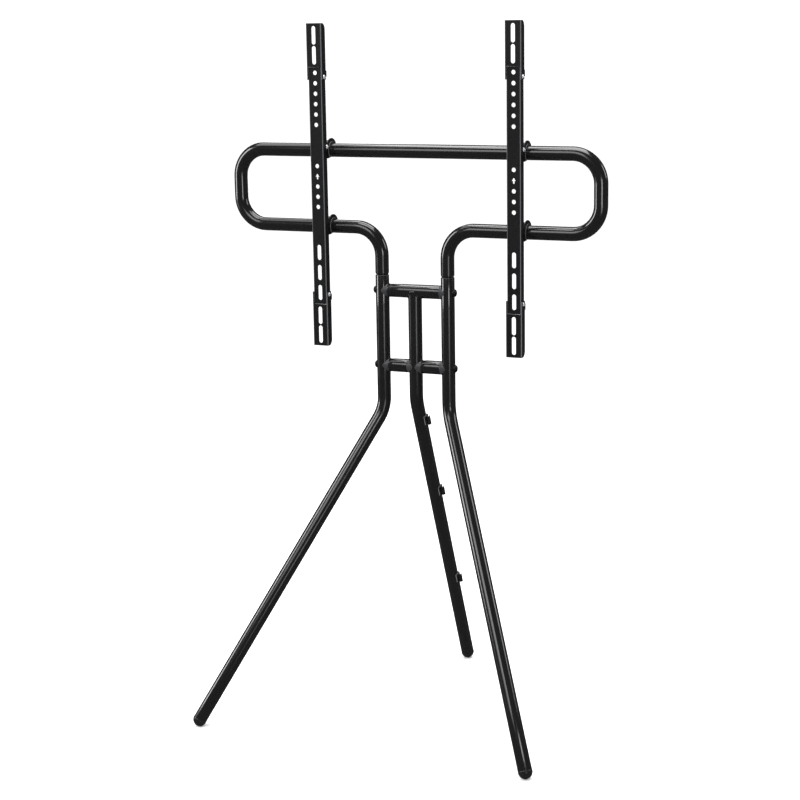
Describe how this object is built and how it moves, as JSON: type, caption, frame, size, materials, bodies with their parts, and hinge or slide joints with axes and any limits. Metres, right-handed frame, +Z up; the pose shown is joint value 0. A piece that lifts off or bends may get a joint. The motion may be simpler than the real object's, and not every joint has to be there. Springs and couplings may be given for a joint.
{
  "type": "television floor stand",
  "caption": "Floor stand on three splayed tube legs, with a bent tube frame and two sliding, extendable mounting rails for a flat television.",
  "frame": {"origin": "on the floor, in the middle of the stand's outer box", "axes": "+Z up; -Y is the front, where the television hangs; +X is to the right as seen from the front"},
  "size_m": [0.789, 0.591, 1.3605],
  "materials": {
    "powder_coat": "gloss black powder coat",
    "rail_steel": "satin black powder coat, finely textured",
    "black_screw": "black oxide, satin",
    "nylon": "satin",
    "liner": "satin",
    "foot_rubber": "matt",
    "foam": "matt grey foam tape",
    "zinc": "bright zinc plate"
  },
  "bodies": {
    "base": {"upper_frame": "powder_coat", "left_leg": "powder_coat", "right_leg": "powder_coat", "rear_leg": "powder_coat", "rear_leg_weld": "powder_coat", "upper_crossbar": "powder_coat", "lower_crossbar_left": "powder_coat", "lower_crossbar_right": "powder_coat", "leg_bolts": "black_screw", "leg_bolt_washers": "black_screw", "frame_lock_screws": "black_screw", "upper_collar_left": "nylon", "upper_collar_right": "nylon", "lower_collar_left_outer": "nylon", "lower_collar_left_inner": "nylon", "lower_collar_right_inner": "nylon", "lower_collar_right_outer": "nylon", "left_foot": "foot_rubber", "right_foot": "foot_rubber", "rear_foot": "foot_rubber", "cable_clip_upper": "nylon", "cable_clip_middle": "nylon", "cable_clip_lower": "nylon", "clip_pads": "foam", "centre_stud": "zinc"},
    "left_rail": {"left_rail": "rail_steel", "left_rail_upper_liner": "liner", "left_rail_lower_liner": "liner", "left_hook_screw": "zinc", "left_hook_nut": "zinc"},
    "left_top_extension": {"left_top_extension": "rail_steel", "left_top_lock_screws": "zinc"},
    "left_bottom_extension": {"left_bottom_extension": "rail_steel", "left_bottom_lock_screws": "zinc"},
    "right_rail": {"right_rail": "rail_steel", "right_rail_upper_liner": "liner", "right_rail_lower_liner": "liner", "right_hook_screw": "zinc", "right_hook_nut": "zinc"},
    "right_top_extension": {"right_top_extension": "rail_steel", "right_top_lock_screws": "zinc"},
    "right_bottom_extension": {"right_bottom_extension": "rail_steel", "right_bottom_lock_screws": "zinc"}
  },
  "joints": [
    {"name": "left_rail_slide", "type": "slide", "parent": "base", "child": "left_rail", "axis": [1, 0, 0], "range_m": [-0.115, 0.043]},
    {"name": "right_rail_slide", "type": "slide", "parent": "base", "child": "right_rail", "axis": [1, 0, 0], "range_m": [-0.076, 0.082]},
    {"name": "left_top_extension_slide", "type": "slide", "parent": "left_rail", "child": "left_top_extension", "axis": [0, 0, 1], "range_m": [-0.08, 0]},
    {"name": "left_bottom_extension_slide", "type": "slide", "parent": "left_rail", "child": "left_bottom_extension", "axis": [0, 0, 1], "range_m": [0, 0.08]},
    {"name": "right_top_extension_slide", "type": "slide", "parent": "right_rail", "child": "right_top_extension", "axis": [0, 0, 1], "range_m": [-0.08, 0]},
    {"name": "right_bottom_extension_slide", "type": "slide", "parent": "right_rail", "child": "right_bottom_extension", "axis": [0, 0, 1], "range_m": [0, 0.08]}
  ]
}
